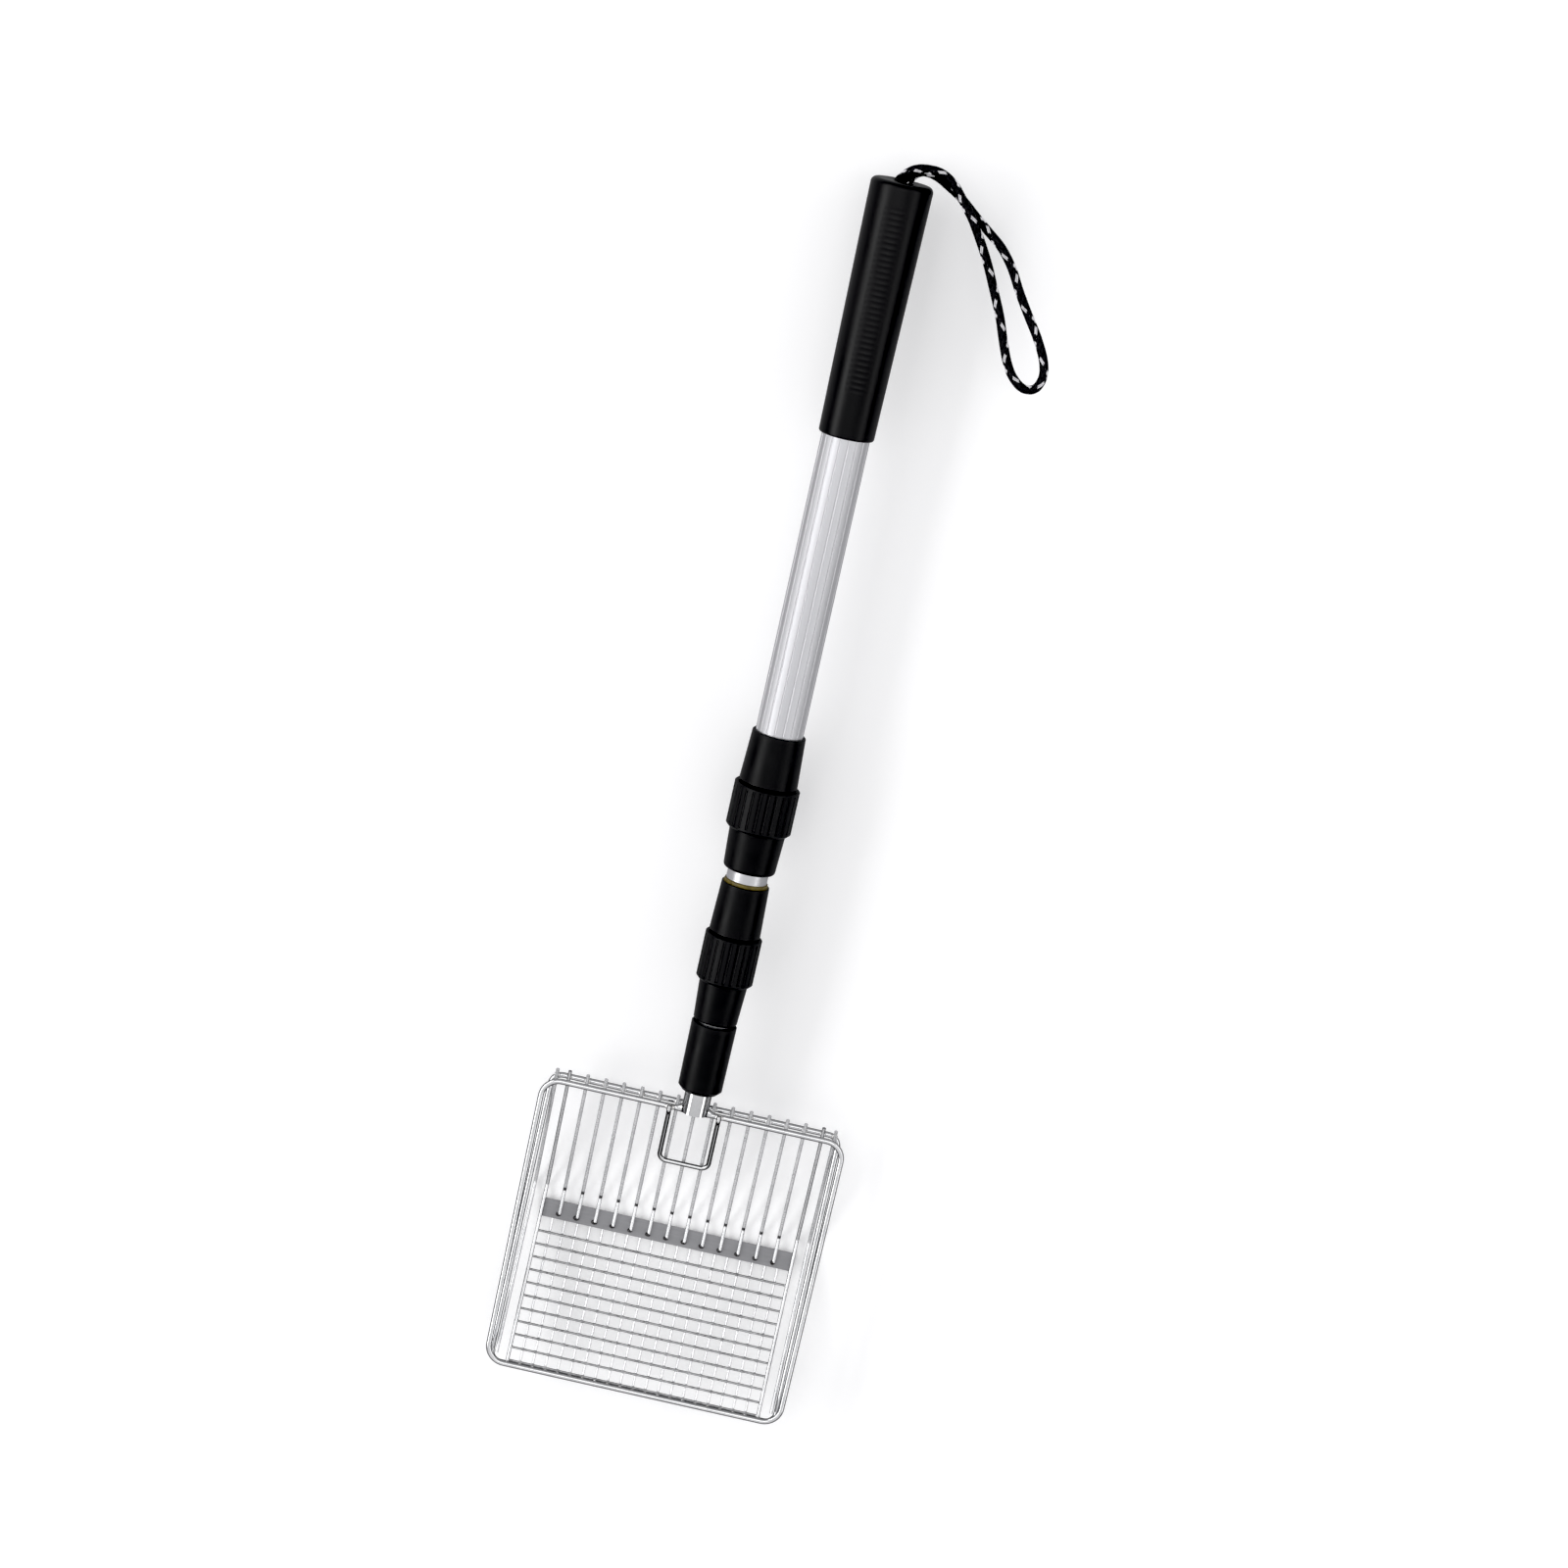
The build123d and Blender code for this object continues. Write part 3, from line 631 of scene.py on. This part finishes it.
def grip_piece():
    """Grip sleeve with a shallow panel of fine cross ribs down its front."""
    columns = 240
    row_step = 0.34 * MM
    end_round = 3 * MM
    start_round = 1.2 * MM
    end_wall = 5 * MM
    hole_edge = 0.5 * MM
    panel_shift = 6 * MM
    panel_half_angle = math.radians(24)
    panel_half_length = 49 * MM
    panel_depth = 0.06 * MM
    rib_pitch = 3.0 * MM
    rib_height = 0.12 * MM
    low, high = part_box("grip_sleeve")
    sleeve = points_of("grip_sleeve")
    radii = np.hypot(sleeve[:, X_AXIS], sleeve[:, Z_AXIS])
    start_r = radii[sleeve[:, Y_AXIS] < low.y + 1.5 * MM].max()
    end_r = radii.max()
    bore_r = radii[sleeve[:, Y_AXIS] < low.y + 0.1 * MM].min()
    hole_r = radii.min()
    middle_y = (low.y + high.y) / 2 + panel_shift

    def outer_r(y):
        return start_r + (end_r - start_r) * (y - low.y) / (high.y - low.y - end_round)

    outline = [
        (hole_r, high.y - end_wall),
        (hole_r, high.y - hole_edge),
        (hole_r + hole_edge, high.y),
    ]
    end_round_r = outer_r(high.y - end_round) - end_round
    for angle in quarter_turn(8):
        outline.append((
            end_round_r + end_round * math.sin(angle),
            high.y - end_round + end_round * math.cos(angle),
        ))
    y = high.y - end_round - row_step
    while y > low.y + start_round:
        outline.append((outer_r(y), y))
        y -= row_step
    start_round_r = outer_r(low.y) - start_round
    for angle in quarter_turn(6):
        outline.append((
            start_round_r + start_round * math.cos(angle),
            low.y + start_round - start_round * math.sin(angle),
        ))
    outline += [(bore_r, low.y), (bore_r, high.y - end_wall)]

    vertices = []
    for radius, y in outline:
        for column in range(columns):
            angle = 2 * math.pi * column / columns
            from_front = (angle - math.pi / 2 + math.pi) % (2 * math.pi) - math.pi
            across = from_front / panel_half_angle
            along = (y - middle_y) / panel_half_length
            r = radius
            if radius > bore_r + 1 * MM and abs(across) < 1 and abs(along) < 1:
                side_fade = min(1, (1 - abs(across)) * 5)
                end_fade = min(1, (1 - abs(along)) * 14)
                edge = side_fade * end_fade
                ease = edge * edge * (3 - 2 * edge)
                wave = math.cos(math.pi * (y - middle_y) / rib_pitch) ** 2
                r += ease * (rib_height * wave ** 2 * (1 - across ** 4) - panel_depth)
            vertices.append((r * math.cos(angle), y, r * math.sin(angle)))
    faces = [tuple(reversed(face)) for face in ring_faces(len(outline), columns)]
    last = (len(outline) - 1) * columns
    faces += [
        (column, (column + 1) % columns, last + (column + 1) % columns, last + column)
        for column in range(columns)
    ]
    piece = new_piece("grip", vertices, faces, [finishes["grip_rubber"]], "handle")
    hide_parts("grip_sleeve")
    return piece


grip_piece()


# ---------------------------------------------------------------- braided cord

def smooth_path(points, step):
    """A centripetal Catmull-Rom curve through points, smoothed, resampled at even steps."""
    samples = 24
    smoothings = 12
    guide = [2 * points[0] - points[1], *points, 2 * points[-1] - points[-2]]
    dense = []
    for i in range(1, len(guide) - 2):
        p0, p1, p2, p3 = guide[i - 1:i + 3]
        t1 = (p1 - p0).length ** 0.5
        t2 = t1 + (p2 - p1).length ** 0.5
        t3 = t2 + (p3 - p2).length ** 0.5
        for k in range(samples):
            t = t1 + (t2 - t1) * k / samples
            a1 = p0 * ((t1 - t) / t1) + p1 * (t / t1)
            a2 = p1 * ((t2 - t) / (t2 - t1)) + p2 * ((t - t1) / (t2 - t1))
            a3 = p2 * ((t3 - t) / (t3 - t2)) + p3 * ((t - t2) / (t3 - t2))
            b1 = a1 * ((t2 - t) / t2) + a2 * (t / t2)
            b2 = a2 * ((t3 - t) / (t3 - t1)) + a3 * ((t - t1) / (t3 - t1))
            dense.append(b1 * ((t2 - t) / (t2 - t1)) + b2 * ((t - t1) / (t2 - t1)))
    dense.append(points[-1])
    path = np.array(dense)
    for _ in range(smoothings):
        path[1:-1] = (path[:-2] + 2 * path[1:-1] + path[2:]) / 4
    lengths = np.concatenate(([0], np.cumsum(np.linalg.norm(np.diff(path, axis=0), axis=1))))
    count = int(lengths[-1] / step)
    even = np.linspace(0, lengths[-1], count)
    return np.stack([np.interp(even, lengths, path[:, axis]) for axis in range(3)], 1)


def carried_frames(path):
    """Two directions square to the path, carried from its widest point without twist."""
    tangents = np.gradient(path, axis=0)
    tangents /= np.linalg.norm(tangents, axis=1)[:, None]
    sides = np.zeros_like(path)
    widest = int(np.argmax(path[:, X_AXIS]))
    for order in (range(widest, len(path)), range(widest, -1, -1)):
        side = np.cross(tangents[widest], (0, 0, 1))
        for i in order:
            side = side - tangents[i] * (side @ tangents[i])
            side = side / np.linalg.norm(side)
            sides[i] = side
    return tangents, sides, np.cross(tangents, sides)


def braid(name, path, step, pale_right, pale_left, start_angle):
    """A braided cord: eight yarns each way, over two and under two, round a dark core.

    The yarns listed in pale_right and pale_left are pale, each made of two thin ends.
    """
    yarns_each_way = 8
    lay = 28 * MM
    mid_r = 1.82 * MM
    wave = 0.22 * MM
    yarn_half_width = 0.78 * MM
    yarn_half_thick = 0.33 * MM
    pale_ends = ((-0.5, 0.31 * MM), (0.5, 0.31 * MM))
    core_r = 1.65 * MM
    columns = 8
    column_width = 0.5 * MM
    yarn_spacing = 9 * MM
    crossing_softness = 0.12
    tangents, sides, ups = carried_frames(path)
    run = np.arange(len(path)) * step
    crossings = 2 * yarns_each_way * run / lay
    vertices, faces, pale, uvs = [], [], [], []
    for way in (1, -1):
        for index in range(yarns_each_way):
            twist = way * 2 * math.pi * run / lay
            angle = start_angle + 2 * math.pi * index / yarns_each_way + twist
            phase = 2 * index + way * crossings - 0.5
            over = np.cos(math.pi / 2 * phase)
            over = way * over / np.sqrt(over ** 2 + crossing_softness)
            radius = mid_r + wave * over
            out = np.cos(angle)[:, None] * sides + np.sin(angle)[:, None] * ups
            centre = path + out * radius[:, None]
            direction = np.gradient(centre, axis=0)
            direction /= np.linalg.norm(direction, axis=1)[:, None]
            lift = out - direction * np.sum(out * direction, axis=1)[:, None]
            lift /= np.linalg.norm(lift, axis=1)[:, None]
            across = np.cross(direction, lift)
            is_pale = index in (pale_right if way == 1 else pale_left)
            for end, half_width in pale_ends if is_pale else ((0, yarn_half_width),):
                rings = np.empty((len(path), columns, 3))
                for column in range(columns):
                    turn = 2 * math.pi * column / columns
                    rings[:, column] = (
                        centre
                        + across * (end * yarn_half_width + half_width * math.cos(turn))
                        + lift * (yarn_half_thick * math.sin(turn))
                    )
                first = sum(len(block) for block in vertices)
                vertices.append(rings.reshape(-1, 3))
                strand = ring_faces(len(path), columns, first)
                caps = [
                    tuple(range(first + columns - 1, first - 1, -1)),
                    tuple(range(first + (len(path) - 1) * columns, first + len(path) * columns)),
                ]
                faces += strand + caps
                pale += [int(is_pale)] * (len(strand) + 2)
                around = np.tile(np.arange(columns) * column_width, len(path))
                around = around + (index + end) * yarn_spacing
                uvs.append(np.stack([np.repeat(run, columns), around], 1))
    first = sum(len(block) for block in vertices)
    rings = np.empty((len(path), columns, 3))
    for column in range(columns):
        turn = 2 * math.pi * column / columns
        rings[:, column] = path + (sides * math.cos(turn) + ups * math.sin(turn)) * core_r
    vertices.append(rings.reshape(-1, 3))
    core = ring_faces(len(path), columns, first) + [
        tuple(range(first + columns - 1, first - 1, -1)),
        tuple(range(first + (len(path) - 1) * columns, first + len(path) * columns)),
    ]
    faces += core
    pale += [0] * len(core)
    around = np.tile(np.arange(columns) * column_width, len(path))
    uvs.append(np.stack([np.repeat(run, columns), around], 1))
    points = np.concatenate(vertices)
    piece = new_piece(name, points, faces, [finishes["cord_fabric"], pale_yarn])
    piece.data.polygons.foreach_set("material_index", pale)
    layer = piece.data.uv_layers.new(name="yarn")
    corners = np.zeros(len(piece.data.loops), int)
    piece.data.loops.foreach_get("vertex_index", corners)
    layer.data.foreach_set("uv", np.concatenate(uvs)[corners].ravel())
    return piece


def cord_piece():
    """The wrist cord: knotted inside the pole, doubled through the grip's end, looped beside it."""
    step = 0.45 * MM
    end_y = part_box("grip_sleeve")[1].y / MM
    knot_half_length = 5.8
    knot_mid_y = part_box("cord_knot")[0].y / MM + knot_half_length
    hole_x = 2.35
    knot_r = 2.55
    knot_squeeze = 1.35
    knot_flattening = 1.15
    knot_points = 15
    knot_start = 0.1
    knot_share = 0.86

    # Overhand knot, a trefoil laid across the pole, then up the hole. All in mm.
    knot = []
    for i in range(knot_points):
        t = 2 * math.pi * (knot_start + knot_share * i / (knot_points - 1))
        knot.append((
            knot_r * (math.sin(t) + 2 * math.sin(2 * t)) / knot_squeeze,
            knot_mid_y + knot_r * -math.sin(3 * t) / knot_flattening,
            knot_r * (math.cos(t) - 2 * math.cos(2 * t)) / knot_squeeze,
        ))
    up_hole = [(-hole_x, end_y - 16, 0), (-hole_x, end_y - 8, 0), (-hole_x, end_y - 0.5, 0.1)]

    # The loop's middle line, with y measured from the grip's end
    upper_arch = [
        (-0.6, 2.6, 1.2), (1.6, 5.0, 2.2), (4.2, 7.0, 2.4), (7.6, 8.3, 2.4), (12.0, 8.8, 2.4),
        (16.0, 8.7, 2.4), (20.0, 7.5, 2.4), (25.2, 4.2, 2.4), (29.7, -0.7, 2.4),
        (33.7, -5.4, 2.4), (37.9, -10.6, 2.2),
    ]
    inner_side = [
        (43.6, -19.4, 1.1), (49.7, -29.7, 0.2), (56.4, -43.1, 0), (62.4, -55.6, 0),
        (66.6, -66.6, 0), (71.4, -77.6, 0),
    ]
    bight = [(76.0, -84.2, 0), (82.0, -88.2, 0), (87.6, -87.2, 0), (90.3, -81.0, 0)]
    outer_side = [
        (89.2, -73.6, 0), (83.6, -62.6, 0), (76.2, -51.8, 0), (69.2, -41.2, 0),
        (62.6, -30.2, 0), (55.4, -21.6, -0.3),
    ]
    lower_arch = [
        (47.6, -15.6, -1.4), (39.5, -9.5, -2.3), (34.0, -5.0, -2.4), (29.0, -1.2, -2.4),
        (22.8, 2.4, -2.4), (17.2, 5.3, -2.4), (12.0, 6.7, -2.4), (8.0, 6.4, -2.2),
        (5.0, 4.4, -1.2), (3.2, 2.0, -0.3),
    ]
    down_hole = [
        (hole_x, end_y - 0.5, 0), (hole_x, end_y - 8, 0), (hole_x, end_y - 18, 0),
        (2.0, end_y - 24, 0.5),
    ]
    loop = [
        (x, end_y + y, z) for x, y, z in upper_arch + inner_side + bight + outer_side + lower_arch
    ]
    points = [Vector(point) * MM for point in knot + up_hole + loop + down_hole]
    path = smooth_path(points, step)
    cord = braid(
        "wrist_cord_braid", path, step, pale_right=(0,), pale_left=(3,),
        start_angle=math.radians(-90 + 11.25),
    )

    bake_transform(cord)
    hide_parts("cord_knot", "wrist_cord")
    return cord


cord_piece()


# ---------------------------------------------------------------- studio

def softbox(name, place, aim, size, power, upright):
    """A rectangular area light at place that faces aim; size is (width, length).

    upright names the side that stands up: X for the width, Y for the length.
    """
    light = bpy.data.lights.new(name, "AREA")
    light.shape = "RECTANGLE"
    light.size, light.size_y = size
    light.energy = power
    lamp = bpy.data.objects.new(name, light)
    bpy.context.scene.collection.objects.link(lamp)
    lamp.location = place
    lamp.rotation_mode = "QUATERNION"
    towards = Vector(aim) - Vector(place)
    lamp.rotation_quaternion = towards.to_track_quat("-Z", upright)


def studio_world():
    """Dark below, bright above for reflections; the camera itself sees a white backdrop."""
    world = bpy.data.worlds.new("studio")
    bpy.context.scene.world = world
    world.use_nodes = True
    tree = world.node_tree
    tree.nodes.clear()
    output = tree.nodes.new("ShaderNodeOutputWorld")
    chooser = tree.nodes.new("ShaderNodeMixShader")
    seen = tree.nodes.new("ShaderNodeBackground")
    seen.inputs["Color"].default_value = (1.0, 1.0, 1.0, 1)
    lit = tree.nodes.new("ShaderNodeBackground")
    rays = tree.nodes.new("ShaderNodeLightPath")
    coords = tree.nodes.new("ShaderNodeTexCoord")
    parts = tree.nodes.new("ShaderNodeSeparateXYZ")
    ramp = tree.nodes.new("ShaderNodeValToRGB")
    stops = ((0.0, 0.05), (0.15, 0.12), (0.4, 0.42), (0.75, 0.74), (1.0, 0.8))
    while len(ramp.color_ramp.elements) < len(stops):
        ramp.color_ramp.elements.new(0.5)
    for element, (place, value) in zip(ramp.color_ramp.elements, stops):
        element.position = place
        element.color = (value, value, value * 1.01, 1)
    tree.links.new(coords.outputs["Generated"], parts.inputs["Vector"])
    tree.links.new(parts.outputs["Z"], ramp.inputs["Fac"])
    tree.links.new(ramp.outputs["Color"], lit.inputs["Color"])
    tree.links.new(rays.outputs["Is Camera Ray"], chooser.inputs["Fac"])
    tree.links.new(lit.outputs["Background"], chooser.inputs[1])
    tree.links.new(seen.outputs["Background"], chooser.inputs[2])
    tree.links.new(chooser.outputs["Shader"], output.inputs["Surface"])


def studio_floor():
    """A plain pale floor just under the basket. Mirror-like metal sees a darker one."""
    half = 6.0
    level = cad_low.z - 1 * MM
    corners = [(x * half, y * half, level) for x, y in ((-1, -1), (1, -1), (1, 1), (-1, 1))]
    finish = Finish("floor")
    cloud = finish.noise(0.4, 2)
    rays = finish.add("ShaderNodeLightPath")
    pale = finish.blend(finish.spread(cloud, 0, 1), (0.86, 0.86, 0.865), (0.88, 0.88, 0.885))
    glow = finish.blend(rays.outputs["Is Glossy Ray"], (0.21, 0.21, 0.212), (0, 0, 0))
    finish.feed("Base Color", finish.blend(rays.outputs["Is Glossy Ray"], pale, (0.5, 0.5, 0.505)))
    finish.feed("Emission Color", glow)
    finish.feed("Emission Strength", 1.0)
    finish.feed("Roughness", 0.9)
    finish.feed("Specular IOR Level", 0.1)
    floor = new_piece("floor", corners, [(0, 1, 2, 3)], [finish.material])


def studio_camera():
    """Looks down at the basket's mouth, tilted towards the grip, with the pole leaning right."""
    distance = 2.2
    tilt = math.radians(13.5)
    lean = math.radians(12.69)
    seen_width = 0.8107
    target = Vector((8.06 * MM, 183.9 * MM, 0))
    back = Vector((0, math.sin(tilt), math.cos(tilt)))
    right = Vector((1, 0, 0))
    up = back.cross(right)
    leaned_up = up * math.cos(lean) - right * math.sin(lean)
    leaned_right = right * math.cos(lean) + up * math.sin(lean)
    camera_data = bpy.data.cameras.new("camera")
    camera_data.sensor_width = 36
    camera_data.lens = camera_data.sensor_width * distance / seen_width
    camera_data.clip_end = 50
    camera = bpy.data.objects.new("camera", camera_data)
    bpy.context.scene.collection.objects.link(camera)
    rotation = Matrix((leaned_right, leaned_up, back)).transposed()
    camera.matrix_world = Matrix.Translation(target + back * distance) @ rotation.to_4x4()
    bpy.context.scene.camera = camera


middle = Vector((0, (cad_low.y + cad_high.y) / 2, 0))
softbox("left_box", middle + Vector((-1.35, 0.1, 0.95)), middle, (0.46, 2.6), 15.5, "X")
softbox("right_box", middle + Vector((1.4, 0.1, 0.8)), middle, (0.5, 2.6), 6.5, "X")
softbox("top_box", middle + Vector((0, 0.49, 2.05)), middle, (1.6, 0.6), 4.8, "Y")
studio_world()
studio_floor()
studio_camera()

# Deep blacks, as in the photograph
darkest_seen = 0.02
view = bpy.context.scene.view_settings
view.view_transform = "Standard"
view.use_curve_mapping = True
view.curve_mapping.black_level = [darkest_seen] * 3
view.curve_mapping.update()
